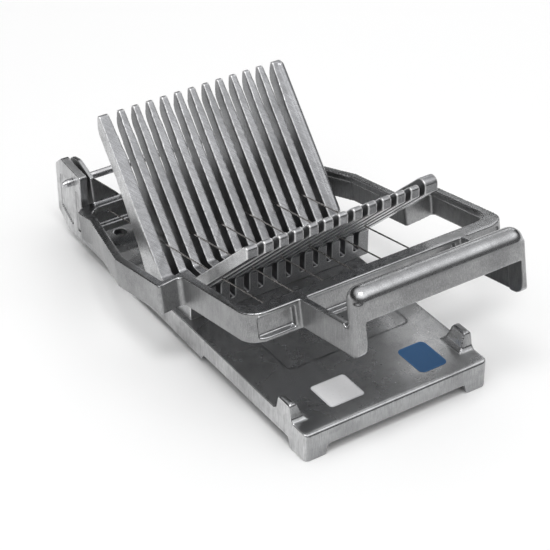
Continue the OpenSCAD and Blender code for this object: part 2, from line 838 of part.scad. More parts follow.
// An upright column that gives a post its round outer edges
module post_column() {
    half = post_l / 2;
    translate([0, -post_front_u + half, -ring_bottom])
        linear_extrude(ring_bottom + grip_up)
            polygon(rounded([
                [handle_half, -half, half * post_round_share],
                [handle_half, half, half * post_round_share],
                [handle_half - post_t, half, 0],
                [handle_half - post_t, -half, 0]]));
}

// The bar that the hand holds, from one post to the other
module grip() {
    inner = handle_half - grip_r;
    translate([handle_shift, -grip_u, grip_up]) {
        along_x(grip_r, -inner, inner);
        for (side = [-1, 1])
            translate([side * inner, 0, 0]) {
                sphere(r = grip_r);
                translate([0, 0, -grip_band]) cylinder(r = grip_r, h = grip_band);
            }
    }
    across(handle_shift - inner, handle_shift + inner)
        polygon(rounded([
            [-grip_u + grip_r, grip_bottom, grip_r / 2],
            [-grip_u + grip_r, grip_up, 0],
            [-grip_u - grip_r, grip_up, 0],
            [-grip_u - grip_r, grip_bottom, grip_r / 8]]));
}

module handle() {
    grip();
    for (side = [0, 1])
        translate([handle_shift, 0, 0])
            mirror([side, 0, 0]) {
                across(handle_half - web_t, handle_half) web_outline();
                intersection() {
                    across(handle_half - post_t, handle_half) post_outline();
                    post_column();
                }
            }
}

// Outline of a lug of the arm from the side, standing on the back of the rear bar
module arm_lug_outline() {
    polygon(rounded([
        [-rear_bar_u - gusset_t, -ring_bottom + ring_h / 3, 0],
        [-rear_bar_u - gusset_t, arm_lug_shoulder, gusset_t / 2],
        [arm_lug_back - 2 * arm_lug_r - lap, arm_lug_top, arm_lug_r],
        [arm_lug_back, arm_lug_top, arm_lug_r],
        [arm_lug_back, -arm_lug_shoulder, arm_lug_r],
        [-rear_bar_u + lap, -ring_bottom + ring_h / 3, arm_lug_r]]));
}

module arm_lugs() {
    for (side = [0, 1])
        mirror([side, 0, 0]) {
            across(lug_inner_x, lug_outer_x) arm_lug_outline();
            // The gusset, a triangle that stands across the arm on the rear bar
            translate([0, -rear_bar_u, 0])
                rotate([90, 0, 0])
                    linear_extrude(gusset_t)
                        polygon([
                            [lug_inner_x + lap, -ring_top - lap],
                            [lug_inner_x + lap, arm_lug_shoulder],
                            [lug_inner_x - gusset_l, -ring_top + gusset_foot_h],
                            [lug_inner_x - gusset_l - gusset_foot_h, -ring_top - lap]]);
        }
}

// The holes for the wires, their sleeves and studs, and the set screws under the front bar
module wire_holes() {
    sleeve_end = front_bar_u + sleeve_l;
    at_wires() {
        translate([0, 0, -wire_down]) {
            along_u(stud_d / 2 + wire_clearance, rear_bar_u - lap, stud_end_u + wire_clearance);
            along_u(wire_d / 2 + wire_clearance, rear_bar_u, rear_bar_u + rear_bar_t + lap);
            along_u(sleeve_d / 2 + wire_clearance, front_bar_u - lap, sleeve_end + wire_clearance);
        }
        translate([0, -front_bar_u - sleeve_l / 2, -ring_bottom - lap])
            cylinder(d = set_screw_d + 2 * screw_clearance, h = ring_bottom + lap - wire_down);
    }
}

module arm_casting() {
    color("darkgray")
        in_arm()
            difference() {
                union() {
                    ring();
                    handle();
                    arm_lugs();
                }
                wire_holes();
                along_x(rod_r + rod_clearance, -base_half, base_half);
            }
}

// Hinge rod, pressed into the ears, with rounded ends that stand out of them
module hinge_rod() {
    straight = base_half + rod_out - rod_tip_l;
    color("lightgray")
        in_frame() translate([0, hinge_y, hinge_h]) {
            along_x(rod_r, -straight, straight);
            for (side = [0, 1])
                mirror([side, 0, 0])
                    translate([straight, 0, 0])
                        rotate([0, 90, 0])
                            rotate_extrude()
                                polygon([
                                    [0, 0],
                                    [rod_r, 0],
                                    [rod_r * tip_radius_shares[0], rod_tip_l * tip_length_shares[0]],
                                    [rod_r * tip_radius_shares[1], rod_tip_l * tip_length_shares[1]],
                                    [0, rod_tip_l]]);
        }
}

// Wires and what holds them

// One cutting wire, from inside its stud in the rear bar to inside its sleeve in the front bar
module wire(i) {
    color("gainsboro")
        in_arm()
            translate([wire_x(i - 1), 0, -wire_down])
                along_u(wire_d / 2, wire_start_u, front_bar_u + sleeve_l / 2);
}

module wire_sleeves() {
    color("goldenrod")
        in_arm()
            at_wires()
                translate([0, 0, -wire_down])
                    difference() {
                        along_u(sleeve_d / 2, front_bar_u, front_bar_u + sleeve_l);
                        along_u(wire_d / 2, front_bar_u - lap, front_bar_u + sleeve_l / 2);
                    }
}

module set_screws() {
    length = ring_bottom - wire_down - sleeve_d / 2;
    socket_d = set_screw_d / 2;
    color("darkslategray")
        in_arm()
            at_wires()
                translate([0, -front_bar_u - sleeve_l / 2, -ring_bottom])
                    difference() {
                        cylinder(d = set_screw_d, h = length);
                        translate([0, 0, -lap]) cylinder(d = socket_d, h = socket_d + lap, $fn = 6);
                    }
}

module tension_studs() {
    color("lightgray")
        in_arm()
            at_wires()
                translate([0, 0, -wire_down])
                    difference() {
                        along_u(stud_d / 2, rear_bar_u - stud_out, stud_end_u);
                        along_u(wire_d / 2, wire_start_u, stud_end_u + lap);
                    }
}

module tension_nuts() {
    color("lightgray")
        in_arm()
            at_wires()
                translate([0, -rear_bar_u + nut_t, -wire_down])
                    rotate([90, 0, 0])
                        difference() {
                            rotate([0, 0, 30]) cylinder(d = nut_w / cos(30), h = nut_t, $fn = 6);
                            translate([0, 0, -lap]) cylinder(d = stud_d, h = nut_t + 2 * lap);
                        }
}

// Cradle screws, put in from under the deck
module cradle_screws() {
    color("lightgray")
        in_frame() at_cradle_screws() {
            socket_d = cradle_head_d / 2;
            difference() {
                translate([0, 0, rib_h - cradle_head_h]) cylinder(d = cradle_head_d, h = cradle_head_h);
                translate([0, 0, rib_h - cradle_head_h - lap])
                    cylinder(d = socket_d, h = cradle_head_h / 2 + lap, $fn = 6);
            }
            translate([0, 0, rib_h - lap])
                cylinder(d = cradle_screw_d, h = deck_h - rib_h + lap + cradle_screw_in);
        }
}

base_casting();
cradle_casting();
arm_casting();
hinge_rod();
wire(1);  // wire_1
wire(2);  // wire_2
wire(3);  // wire_3
wire(4);  // wire_4
wire(5);  // wire_5
wire(6);  // wire_6
wire_sleeves();
set_screws();
tension_studs();
tension_nuts();
cradle_screws();
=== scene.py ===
"""Wire slicer for blocks of cheese: a cast base, a finned V cradle and a hinged arm with six wires.

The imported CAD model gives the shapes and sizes, apart from those of the cradle, which is built here
with deeper fins. This script rounds the castings as a foundry would leave them, gives each piece its
finish, adds the two blank labels on the deck, and sets up the floor, the light and the camera.
"""

from __future__ import annotations

import logging
import math
from dataclasses import dataclass, field
from enum import Enum

import bmesh
import bpy
from mathutils import Euler, Matrix, Vector


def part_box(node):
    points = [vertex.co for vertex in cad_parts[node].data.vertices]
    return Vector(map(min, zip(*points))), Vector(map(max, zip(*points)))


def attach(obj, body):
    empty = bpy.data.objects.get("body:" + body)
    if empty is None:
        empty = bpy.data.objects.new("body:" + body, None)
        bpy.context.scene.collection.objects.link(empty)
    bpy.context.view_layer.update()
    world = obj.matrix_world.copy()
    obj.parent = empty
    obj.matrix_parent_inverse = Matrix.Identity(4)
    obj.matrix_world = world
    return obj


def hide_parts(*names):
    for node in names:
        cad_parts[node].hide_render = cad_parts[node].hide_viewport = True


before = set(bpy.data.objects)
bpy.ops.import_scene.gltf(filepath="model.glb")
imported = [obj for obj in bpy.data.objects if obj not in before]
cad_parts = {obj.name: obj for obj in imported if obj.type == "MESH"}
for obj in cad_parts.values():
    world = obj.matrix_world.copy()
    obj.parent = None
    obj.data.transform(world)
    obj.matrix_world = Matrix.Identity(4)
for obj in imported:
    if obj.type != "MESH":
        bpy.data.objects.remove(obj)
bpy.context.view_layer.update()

log = logging.getLogger("cheese_slicer")

Colour = tuple[float, float, float]
Span = tuple[float, float]
Corner = tuple[float, float, float]

MM = 0.001
# Height of the deck above the bench
DECK_HEIGHT = 17.7 * MM
# Corners nearer than this share of a piece's finest detail are joined before it is rounded
WELD_SHARE = 0.001


class Direction(Enum):
    """The way in which the grain of a ground or brushed face runs."""

    ALONG_X = (1.0, 0.0, 0.0)
    ALONG_Y = (0.0, 1.0, 0.0)
    UPRIGHT = (0.0, 0.0, 1.0)
    DOWN_THE_FINS = (0.65, -0.5, -0.57)

    def turn(self) -> Euler:
        """Gives the rotation that brings the Z axis onto this direction."""
        return Vector(self.value).to_track_quat("Z", "Y").to_euler()


def add_object(name: str, data: bpy.types.ID) -> bpy.types.Object:
    """Adds an object to the scene.

    Args:
        name: The object's name.
        data: Its mesh, lamp or camera.

    Returns:
        The new object.
    """
    thing = bpy.data.objects.new(name, data)
    bpy.context.scene.collection.objects.link(thing)
    return thing


class Graph:
    """A material's node tree, with short calls for the nodes that the finishes share."""

    def __init__(self, name: str) -> None:
        """Makes a new material whose tree holds a surface shader and its output.

        Args:
            name: The material's name.
        """
        self.material = bpy.data.materials.new(name)
        self.material.use_nodes = True
        self.nodes = self.material.node_tree.nodes
        self.shader = self.nodes["Principled BSDF"]

    def add(self, kind: str, **settings: object) -> bpy.types.Node:
        """Adds a node.

        Args:
            kind: The node's type name, without the word that all shader nodes begin with.
            **settings: Properties to set on the node.

        Returns:
            The new node.
        """
        node = self.nodes.new("ShaderNode" + kind)
        for key, value in settings.items():
            setattr(node, key, value)
        return node

    def feed(self, socket: bpy.types.NodeSocket, source: object) -> None:
        """Links a socket to another one, or gives it a plain value.

        Args:
            socket: The input to feed.
            source: An output socket, a number, or a colour.
        """
        if isinstance(source, bpy.types.NodeSocket):
            self.material.node_tree.links.new(source, socket)
        elif isinstance(source, tuple):
            socket.default_value = (*source, 1.0)
        else:
            socket.default_value = source

    def mix(self, share: object, low: object, high: object) -> bpy.types.NodeSocket:
        """Mixes two colours.

        Args:
            share: How much of the second colour shows, from 0 to 1.
            low: The first colour.
            high: The second colour.

        Returns:
            The mixed colour's socket.
        """
        node = self.add("Mix", data_type="RGBA")
        # Sockets 0, 6 and 7 are the share and the two colours, and output 2 is the mixed colour
        self.feed(node.inputs[0], share)
        self.feed(node.inputs[6], low)
        self.feed(node.inputs[7], high)
        return node.outputs[2]

    def ramp(self, source: object, start: float, end: float, low: float = 0.0,
             high: float = 1.0) -> bpy.types.NodeSocket:
        """Maps one span of numbers smoothly onto another.

        Args:
            source: The number to map.
            start: The number that gives low.
            end: The number that gives high.
            low: The lowest result.
            high: The highest result.

        Returns:
            The mapped number's socket.
        """
        node = self.add("MapRange", interpolation_type="SMOOTHSTEP")
        for name, value in zip(("Value", "From Min", "From Max", "To Min", "To Max"),
                               (source, start, end, low, high)):
            self.feed(node.inputs[name], value)
        return node.outputs["Result"]

    def maths(self, operation: str, first: object, second: object) -> bpy.types.NodeSocket:
        """Works out a sum, a product or another operation on two numbers.

        Args:
            operation: The operation's name.
            first: The first number.
            second: The second number.

        Returns:
            The result's socket.
        """
        node = self.add("Math", operation=operation)
        self.feed(node.inputs[0], first)
        self.feed(node.inputs[1], second)
        return node.outputs[0]

    def noise(self, size: tuple[float, float, float], turn: Euler | None = None,
              detail: float = 3.0, roughness: float = 0.55) -> bpy.types.NodeSocket:
        """Adds a cloudy pattern that sits still on the piece.

        Args:
            size: The size of one cloud along each axis, in metres.
            turn: How the pattern's axes are turned, or None.
            detail: How many finer layers it has.
            roughness: How strong the finer layers are.

        Returns:
            The pattern's socket, about 0.5 on average.
        """
        place = self.add("TexCoord")
        mapping = self.add("Mapping", vector_type="TEXTURE")
        mapping.inputs["Scale"].default_value = size
        if turn is not None:
            mapping.inputs["Rotation"].default_value = turn
        self.feed(mapping.inputs["Vector"], place.outputs["Object"])
        node = self.add("TexNoise")
        self.feed(node.inputs["Vector"], mapping.outputs["Vector"])
        node.inputs["Scale"].default_value = 1.0
        node.inputs["Detail"].default_value = detail
        node.inputs["Roughness"].default_value = roughness
        return node.outputs["Fac"]

    def facing(self, axis: str) -> bpy.types.NodeSocket:
        """Tells how far a face looks along one of the piece's own axes.

        Args:
            axis: The axis, X, Y or Z.

        Returns:
            A number from -1 to 1.
        """
        geometry = self.add("NewGeometry")
        turn = self.add("VectorTransform", vector_type="NORMAL",
                        convert_from="WORLD", convert_to="OBJECT")
        self.feed(turn.inputs[0], geometry.outputs["Normal"])
        split = self.add("SeparateXYZ")
        self.feed(split.inputs[0], turn.outputs[0])
        return split.outputs[axis]

    def place(self, axis: str) -> bpy.types.NodeSocket:
        """Tells where a point lies along one of the piece's own axes.

        Args:
            axis: The axis, X, Y or Z.

        Returns:
            The place, in metres.
        """
        split = self.add("SeparateXYZ")
        self.feed(split.inputs[0], self.add("TexCoord").outputs["Object"])
        return split.outputs[axis]

    def edges(self) -> bpy.types.NodeSocket:
        """Gives a number over 0.5 on outer edges and under it in hollows."""
        return self.add("NewGeometry").outputs["Pointiness"]

    def bump(self, height: bpy.types.NodeSocket, depth: float,
             under: bpy.types.NodeSocket | None = None) -> bpy.types.NodeSocket:
        """Makes a surface rough or grained.

        Args:
            height: The pattern that gives the height.
            depth: The height of the pattern, in metres.
            under: The roughness beneath this one, or None.

        Returns:
            The surface direction's socket.
        """
        node = self.add("Bump")
        node.inputs["Distance"].default_value = depth
        self.feed(node.inputs["Height"], height)
        if under is not None:
            self.feed(node.inputs["Normal"], under)
        return node.outputs["Normal"]


@dataclass(frozen=True)
class CastAluminium:
    """Tumbled cast aluminium, ground on its flat tops, with edges lightened by wear and a painted
    highlight.

    The faces that look towards -X take a lighter tone, a painted reflection of the pale floor beside
    them, below a limit along X which is all over the piece unless a finish sets it. A span gives the
    two values between which a pattern, a slope or an edge goes from none of its effect to all of it.
    """

    name: str
    slot: str
    skin: Colour = (0.44, 0.445, 0.455)
    wall: Colour = (0.36, 0.362, 0.365)
    ground: Colour = (0.40, 0.405, 0.415)
    # Light tone for the bright speckles, and for the edges, where it is partly wear and partly a
    # painted highlight
    worn_and_highlight: Colour = (0.88, 0.88, 0.88)
    # Lighter tone for faces that look towards -X: a painted reflection of the floor beside them
    left_reflection_tone: Colour = (0.36, 0.362, 0.365)
    left_reflection_limit: float = 1.0
    left_reflection_span: Span = (-0.50, -0.85)
    # Dark tone for the random stains and the grain, and for the painted shade in the hollows
    stain_and_shade: Colour = (0.13, 0.13, 0.135)
    skin_roughness: float = 0.22
    wall_roughness: float = 0.38
    ground_roughness: float = 0.30
    edge_roughness: float = 0.42
    roughness_span: Span = (0.3, 0.7)
    roughness_change: Span = (-0.05, 0.06)
    edge_span: Span = (0.53, 0.60)
    edge_wear_and_highlight_share: float = 0.75
    # Where the painted shade in the hollows and creases begins, and how strong it is
    hollow_shade_span: Span = (0.475, 0.42)
    hollow_shade_share: float = 0.50
    cloud_size: float = 26.0 * MM
    cloud_span: Span = (0.35, 0.75)
    cloud_share: float = 0.40
    mottle_size: float = 5.0 * MM
    mottle_span: Span = (0.45, 0.70)
    mottle_share: float = 0.22
    grain: Direction = Direction.UPRIGHT
    grain_width: float = 0.40 * MM
    grain_length: float = 9.0 * MM
    grain_depth: float = 0.022 * MM
    grain_span: Span = (0.35, 0.65)
    grain_share: float = 0.32
    ground_grain_share: float = 0.0
    pit_size: float = 0.55 * MM
    pit_depth: float = 0.02 * MM
    pit_span: Span = (0.40, 0.75)
    pit_share: float = 0.20
    wall_span: Span = (0.42, 0.24)
    ground_span: Span = (0.75, 0.95)

    def material(self) -> bpy.types.Material:
        """Builds the finish.

        Returns:
            The material.
        """
        graph = Graph(self.name)
        shader = graph.shader
        cloud = graph.noise((self.cloud_size,) * 3, detail=5.0)
        mottle = graph.noise((self.mottle_size,) * 3, detail=4.0)
        speckle = graph.noise((self.pit_size,) * 3, detail=2.0, roughness=0.7)
        grain = graph.noise((self.grain_width, self.grain_width, self.grain_length),
                            self.grain.turn(), detail=2.0, roughness=0.6)
        up = graph.facing("Z")
        top = graph.ramp(up, *self.ground_span)
        wall = graph.ramp(graph.maths("ABSOLUTE", up, 0.0), *self.wall_span)
        # Outer edges: their colour is lightened, partly as wear and partly as a painted highlight, and
        # they get their own roughness
        edge = graph.ramp(graph.edges(), *self.edge_span)
        # Hollows and creases away from the flat tops are darkened: painted shade
        hollow_shade = graph.maths("MULTIPLY", graph.ramp(graph.edges(), *self.hollow_shade_span),
                             graph.maths("SUBTRACT", 1.0, top))
        # Mask of the faces that look towards -X, below the limit along X: where the painted floor
        # reflection goes
        left_reflection = graph.maths("MULTIPLY", graph.ramp(graph.facing("X"), *self.left_reflection_span),
                           graph.ramp(graph.place("X"), self.left_reflection_limit, self.left_reflection_limit - MM))
        brushed = graph.maths("ADD", graph.maths("MULTIPLY", wall, self.grain_share),
                              graph.maths("MULTIPLY", top, self.ground_grain_share))
        streak = graph.maths("MULTIPLY", graph.ramp(grain, *self.grain_span), brushed)

        tone = graph.mix(wall, self.skin, self.wall)
        # Painted reflection on the faces that look towards -X
        tone = graph.mix(left_reflection, tone, self.left_reflection_tone)
        tone = graph.mix(top, tone, self.ground)
        for pattern, span, share, colour in (
                (cloud, self.cloud_span, self.cloud_share, self.stain_and_shade),
                (mottle, self.mottle_span, self.mottle_share, self.stain_and_shade),
                (speckle, self.pit_span, self.pit_share, self.worn_and_highlight)):
            tone = graph.mix(graph.ramp(pattern, *span, 0.0, share), tone, colour)
        tone = graph.mix(streak, tone, self.stain_and_shade)
        # Painted shade in the hollows and creases
        tone = graph.mix(graph.maths("MULTIPLY", hollow_shade, self.hollow_shade_share), tone, self.stain_and_shade)
        # Edges lightened: partly wear, partly a painted highlight
        tone = graph.mix(graph.maths("MULTIPLY", edge, self.edge_wear_and_highlight_share), tone, self.worn_and_highlight)
        graph.feed(shader.inputs["Base Color"], tone)

        rough = graph.ramp(wall, 0.0, 1.0, self.skin_roughness, self.wall_roughness)
        rough = graph.ramp(top, 0.0, 1.0, rough, self.ground_roughness)
        change = graph.ramp(cloud, *self.roughness_span, *self.roughness_change)
        rough = graph.maths("ADD", rough, change)
        rough = graph.ramp(edge, 0.0, 1.0, rough, self.edge_roughness)
        graph.feed(shader.inputs["Roughness"], rough)
        shader.inputs["Metallic"].default_value = 1.0

        pits = graph.bump(speckle, self.pit_depth)
        graph.feed(shader.inputs["Normal"], graph.bump(grain, self.grain_depth, pits))
        return graph.material


@dataclass(frozen=True)
class DrawnSteel:
    """Drawn steel of the rod, the wires and the small fasteners, with faint lines along it."""

    name: str
    slot: str
    clean: Colour = (0.62, 0.62, 0.63)
    dull: Colour = (0.34, 0.34, 0.35)
    roughness: float = 0.22
    line: Direction = Direction.ALONG_X
    line_width: float = 0.25 * MM
    line_length: float = 12.0 * MM
    line_depth: float = 0.006 * MM
    line_span: Span = (0.4, 0.8)
    line_share: float = 0.35
    cloud_size: float = 7.0 * MM
    cloud_span: Span = (0.35, 0.75)
    cloud_share: float = 0.6
    roughness_span: Span = (0.3, 0.7)
    roughness_change: Span = (-0.05, 0.08)

    def material(self) -> bpy.types.Material:
        """Builds the finish.

        Returns:
            The material.
        """
        graph = Graph(self.name)
        shader = graph.shader
        cloud = graph.noise((self.cloud_size,) * 3, detail=4.0)
        line = graph.noise((self.line_width, self.line_width, self.line_length),
                           self.line.turn(), detail=2.0)
        tone = graph.mix(graph.ramp(cloud, *self.cloud_span, 0.0, self.cloud_share),
                         self.clean, self.dull)
        tone = graph.mix(graph.ramp(line, *self.line_span, 0.0, self.line_share), tone, self.dull)
        graph.feed(shader.inputs["Base Color"], tone)
        least, most = (self.roughness + change for change in self.roughness_change)
        graph.feed(shader.inputs["Roughness"], graph.ramp(cloud, *self.roughness_span, least, most))
        shader.inputs["Metallic"].default_value = 1.0
        graph.feed(shader.inputs["Normal"], graph.bump(line, self.line_depth))
        return graph.material


@dataclass(frozen=True)
class PrintedFilm:
    """The finish of a blank label: plastic film, a little scuffed, with a plain border."""

    name: str
    face: Colour
    border: Colour
    half_width: float
    half_length: float
    border_width: float = 0.9 * MM
    border_blur: float = 0.1
    roughness: float = 0.32
    roughness_span: Span = (0.3, 0.8)
    roughness_change: Span = (-0.06, 0.15)
    scuff_size: float = 3.0 * MM
    scuff_depth: float = 0.01 * MM
    scuff_span: Span = (0.45, 0.8)
    scuff_share: float = 0.5
    fade: float = 0.82
    fade_rise: float = 0.05

    def material(self) -> bpy.types.Material:
        """Builds the finish.

        Returns:
            The material.
        """
        graph = Graph(self.name)
        shader = graph.shader
        scuff = graph.noise((self.scuff_size,) * 3, detail=5.0, roughness=0.65)
        across, along = (graph.maths("SUBTRACT", half, graph.maths("ABSOLUTE", graph.place(axis), 0.0))
                         for half, axis in ((self.half_width, "X"), (self.half_length, "Y")))
        inside = graph.maths("MINIMUM", across, along)
        within = graph.ramp(inside, self.border_width * (1 - self.border_blur),
                            self.border_width * (1 + self.border_blur))
        faded = tuple(self.fade * part + self.fade_rise for part in self.face)
        tone = graph.mix(within, self.border, self.face)
        tone = graph.mix(graph.ramp(scuff, *self.scuff_span, 0.0, self.scuff_share), tone, faded)
        graph.feed(shader.inputs["Base Color"], tone)
        least, most = (self.roughness + change for change in self.roughness_change)
        graph.feed(shader.inputs["Roughness"], graph.ramp(scuff, *self.roughness_span, least, most))
        graph.feed(shader.inputs["Normal"], graph.bump(scuff, self.scuff_depth))
        return graph.material


@dataclass
class CadPiece:
    """A piece whose solid comes straight from the CAD model."""

    node: str
    finish: CastAluminium | DrawnSteel

    def thing(self) -> bpy.types.Object:
        """Finds the piece's object in the frame."""
        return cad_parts[self.node]

    def dress(self) -> None:
        """Gives every material slot of the piece its finish."""
        material = self.finish.material()
        for slot in self.thing().material_slots:
            slot.material = material
        log.info("%s dressed as %s", self.node, self.finish.name)


@dataclass
class Casting(CadPiece):
    """A sand casting, whose edges and corners come out of the mould round."""

    grid: float = 0.5 * MM
    passes: int = 6
    share: float = 0.5

    def round_edges(self) -> None:
        """Rounds all edges and hollows, first on an even grid and then by smoothing it."""
        piece = self.thing()
        weld = piece.modifiers.new("seams", "WELD")
        weld.merge_threshold = self.grid * WELD_SHARE
        skin = piece.modifiers.new("skin", "REMESH")
        skin.mode = "VOXEL"
        skin.voxel_size = self.grid
        skin.use_smooth_shade = True
        soften = piece.modifiers.new("soften", "SMOOTH")
        soften.factor = self.share
        soften.iterations = self.passes

    def build(self) -> None:
        """Rounds and dresses the casting."""
        self.round_edges()
        self.dress()


def rounded(corners: list[Corner], steps: int = 6) -> list[tuple[float, float]]:
    """Rounds the corners of an outline.

    Args:
        corners: Two coordinates and a radius for each corner.
        steps: How many straight pieces each round corner has.

    Returns:
        The points of the outline.
    """
    outline = []
    for number, (first, second, radius) in enumerate(corners):
        corner = Vector((first, second))
        if radius == 0.0:
            outline.append((first, second))
            continue
        before = (Vector(corners[number - 1][:2]) - corner).normalized()
        after = (Vector(corners[(number + 1) % len(corners)][:2]) - corner).normalized()
        half = before.angle(after) / 2
        centre = corner + (before + after).normalized() * (radius / math.sin(half))
        start = corner + before * (radius / math.tan(half)) - centre
        end = corner + after * (radius / math.tan(half)) - centre
        for step in range(steps + 1):
            outline.append(tuple(centre + start.slerp(end, step / steps).normalized() * radius))
    return outline


@dataclass(frozen=True)
class Plate:
    """A plate of the cradle: an outline seen from the side, from one place along X to another.

    Its two faces may lean in above its foot, each by its own share of the height.
    """

    corners: list[Corner]
    low_x: float
    high_x: float
    low_lean: float = 0.0
    high_lean: float = 0.0

    def add_to(self, grid: bmesh.types.BMesh) -> None:
        """Adds the plate as a closed solid.

        Args:
            grid: The mesh that takes it.
        """
        outline = rounded(self.corners)
        face = grid.faces.new([grid.verts.new((self.low_x, y, z)) for y, z in outline])
        near = list(face.verts)
        raised = bmesh.ops.extrude_face_region(grid, geom=[face])
        far = [part for part in raised["geom"] if isinstance(part, bmesh.types.BMVert)]
        foot = min(vert.co.z for vert in near)
        for vert in near:
            vert.co.x += self.low_lean * (vert.co.z - foot)
        for vert in far:
            vert.co.x = self.high_x - self.high_lean * (vert.co.z - foot)


@dataclass
class Cradle(Casting):
    """The cradle casting. Its fins are deeper than the CAD model's, and the right one has a bead.

    The places along Y are counted from the front of the pedestal, and heights from the bench.
    """

    piece: bpy.types.Object | None = None
    pitch: float = 9.525 * MM
    plate_count: int = 13
    half_width: float = 61.5 * MM
    deck_height: float = DECK_HEIGHT
    slot_height: float = 23.0 * MM
    floor_height: float = 29.5 * MM
    floor_start: float = 15.8 * MM
    floor_length: float = 14.7 * MM
    pedestal_length: float = 46.0 * MM
    lip_thickness: float = 6.1 * MM
    lip_reach: float = 59.7 * MM
    lip_angle: float = math.radians(44.0)
    lip_face: float = 9.4 * MM
    lip_tip_radius: float = 2.2 * MM
    lip_root_radius: float = 4.6 * MM
    rim_rise: float = 4.4 * MM
    rim_out: float = 1.5 * MM
    fin_thickness: float = 5.5 * MM
    fin_tip_thickness: float = 4.0 * MM
    fin_taper_height: float = 83.0 * MM
    fin_angle: float = math.radians(49.0)
    fin_height: float = 104.0 * MM
    fin_depth: float = 12.0 * MM
    fin_crown: float = 2.4 * MM
    fin_back_height: float = 94.0 * MM
    fin_bend_height: float = 71.0 * MM
    fin_tip_radius: float = 1.2 * MM
    fin_back_radius: float = 12.0 * MM
    back_reach_share: float = 0.30
    back_rise_share: float = 0.36
    end_fin_out: float = 0.9 * MM
    bead_radius: float = 2.4 * MM
    bead_out: float = 1.0 * MM
    bead_sides: int = 24
    lap: float = 1.0 * MM

    def thing(self) -> bpy.types.Object:
        """Gives the piece that stands for the CAD casting."""
        return self.piece

    def slope_place(self, height: float) -> float:
        """Gives the place along Y of the fins' sloping face at a height."""
        rise = height - self.floor_height
        return self.floor_start + self.floor_length + rise / math.tan(self.fin_angle)

    def fin_tip_corners(self) -> list[Corner]:
        """Lists the corners of the thinner tip of a rear fin, which laps a little over the fin.

        Returns:
            The corners, as places along Y, heights and radii.
        """
        foot = self.fin_taper_height - self.lap
        back = self.slope_place(self.fin_back_height) + self.fin_depth
        tip = self.slope_place(self.fin_height)
        return [(self.slope_place(foot), foot, 0.0),
                (self.slope_place(foot) + self.fin_depth, foot, 0.0),
                (back, self.fin_back_height, self.fin_back_radius),
                (tip + self.fin_crown, self.fin_height, self.fin_tip_radius),
                (tip, self.fin_height, self.fin_tip_radius / 2)]

    def fin_corners(self) -> list[Corner]:
        """Lists the corners of a rear fin below its tip.

        Returns:
            The corners, as places along Y, heights and radii.
        """
        foot = self.pedestal_length
        bend = self.slope_place(self.fin_bend_height) + self.fin_depth
        tip = self.slope_place(self.fin_taper_height)
        back_y = foot + self.back_reach_share * (bend - foot)
        back_z = self.deck_height + self.back_rise_share * (self.fin_bend_height - self.deck_height)
        return [(self.floor_start, self.deck_height, 0.0),
                (foot, self.deck_height, 0.0),
                (back_y, back_z, 0.0),
                (bend, self.fin_bend_height, 0.0),
                (tip + self.fin_depth, self.fin_taper_height, 0.0),
                (tip, self.fin_taper_height, 0.0),
                (self.slope_place(self.floor_height), self.floor_height, 0.0),
                (self.floor_start, self.floor_height, 0.0)]

    def lip_corners(self) -> list[Corner]:
        """Lists the corners of a plate of the front lip and of the pedestal under it.

        Returns:
            The corners, as places along Y, heights and radii.
        """
        floor_end = self.floor_start + self.floor_length
        top = self.lip_top()
        under = top - self.lip_face - self.lip_reach * math.tan(self.lip_angle)
        return [(0.0, self.deck_height, 0.0),
                (floor_end, self.deck_height, 0.0),
                (floor_end, self.floor_height, 0.0),
                (self.floor_start, self.floor_height, 0.0),
                (-self.lip_reach, top, self.lip_tip_radius),
                (-self.lip_reach, top - self.lip_face, self.lip_tip_radius / 2),
                (0.0, under, self.lip_root_radius)]

    def lip_top(self) -> float:
        """Gives the height of the front lip."""
        return self.floor_height + (self.floor_start + self.lip_reach) * math.tan(self.lip_angle)

    def rim_corners(self) -> list[Corner]:
        """Lists the corners of the raised rim on the lip's right end.

        Returns:
            The corners, as places along Y, heights and radii.
        """
        start = self.floor_start - self.rim_rise
        slope = 2 * self.rim_rise * math.tan(self.lip_angle)
        return [(start, self.floor_height, 0.0),
                (start - self.rim_rise, self.floor_height + slope + self.rim_rise, self.rim_rise),
                (-self.lip_reach, self.lip_top() + self.rim_rise, self.rim_rise),
                (-self.lip_reach, self.lip_top() - self.lip_face, self.lip_tip_radius / 2)]

    def pedestal_corners(self) -> list[Corner]:
        """Lists the corners of the slab that joins all the plates.

        Returns:
            The corners, as places along Y, heights and radii.
        """
        return [(0.0, self.deck_height, 0.0),
                (self.pedestal_length, self.deck_height, 0.0),
                (self.pedestal_length, self.slot_height, 0.0),
                (0.0, self.slot_height, 0.0)]

    def plates(self) -> list[Plate]:
        """Lists every plate of the casting.

        Returns:
            The plates, which lap over each other where they join.
        """
        end = (self.plate_count - 1) / 2 * self.pitch
        fin_end = self.half_width + self.end_fin_out
        rim_start = end - self.lip_thickness / 2
        tip_height = self.fin_height - self.fin_taper_height
        lean = (self.fin_thickness - self.fin_tip_thickness) / 2 / tip_height
        inner = end - self.fin_thickness / 2
        lip = self.lip_corners()
        fin = self.fin_corners()
        tip = self.fin_tip_corners()
        plates = [Plate(self.pedestal_corners(), -self.half_width, self.half_width),
                  Plate(self.rim_corners(), rim_start, self.half_width + self.rim_out),
                  Plate(lip, end, self.half_width), Plate(lip, -self.half_width, -end),
                  Plate(fin, inner, fin_end), Plate(tip, inner, fin_end, low_lean=2 * lean),
                  Plate(fin, -fin_end, -inner), Plate(tip, -fin_end, -inner, high_lean=2 * lean)]
        for number in range(self.plate_count):
            low = number * self.pitch - end - self.lip_thickness / 2
            plates.append(Plate(lip, low, low + self.lip_thickness))
        for number in range(1, self.plate_count - 1):
            low = number * self.pitch - end - self.fin_thickness / 2
            plates.append(Plate(fin, low, low + self.fin_thickness))
            plates.append(Plate(tip, low, low + self.fin_thickness, lean, lean))
        return plates

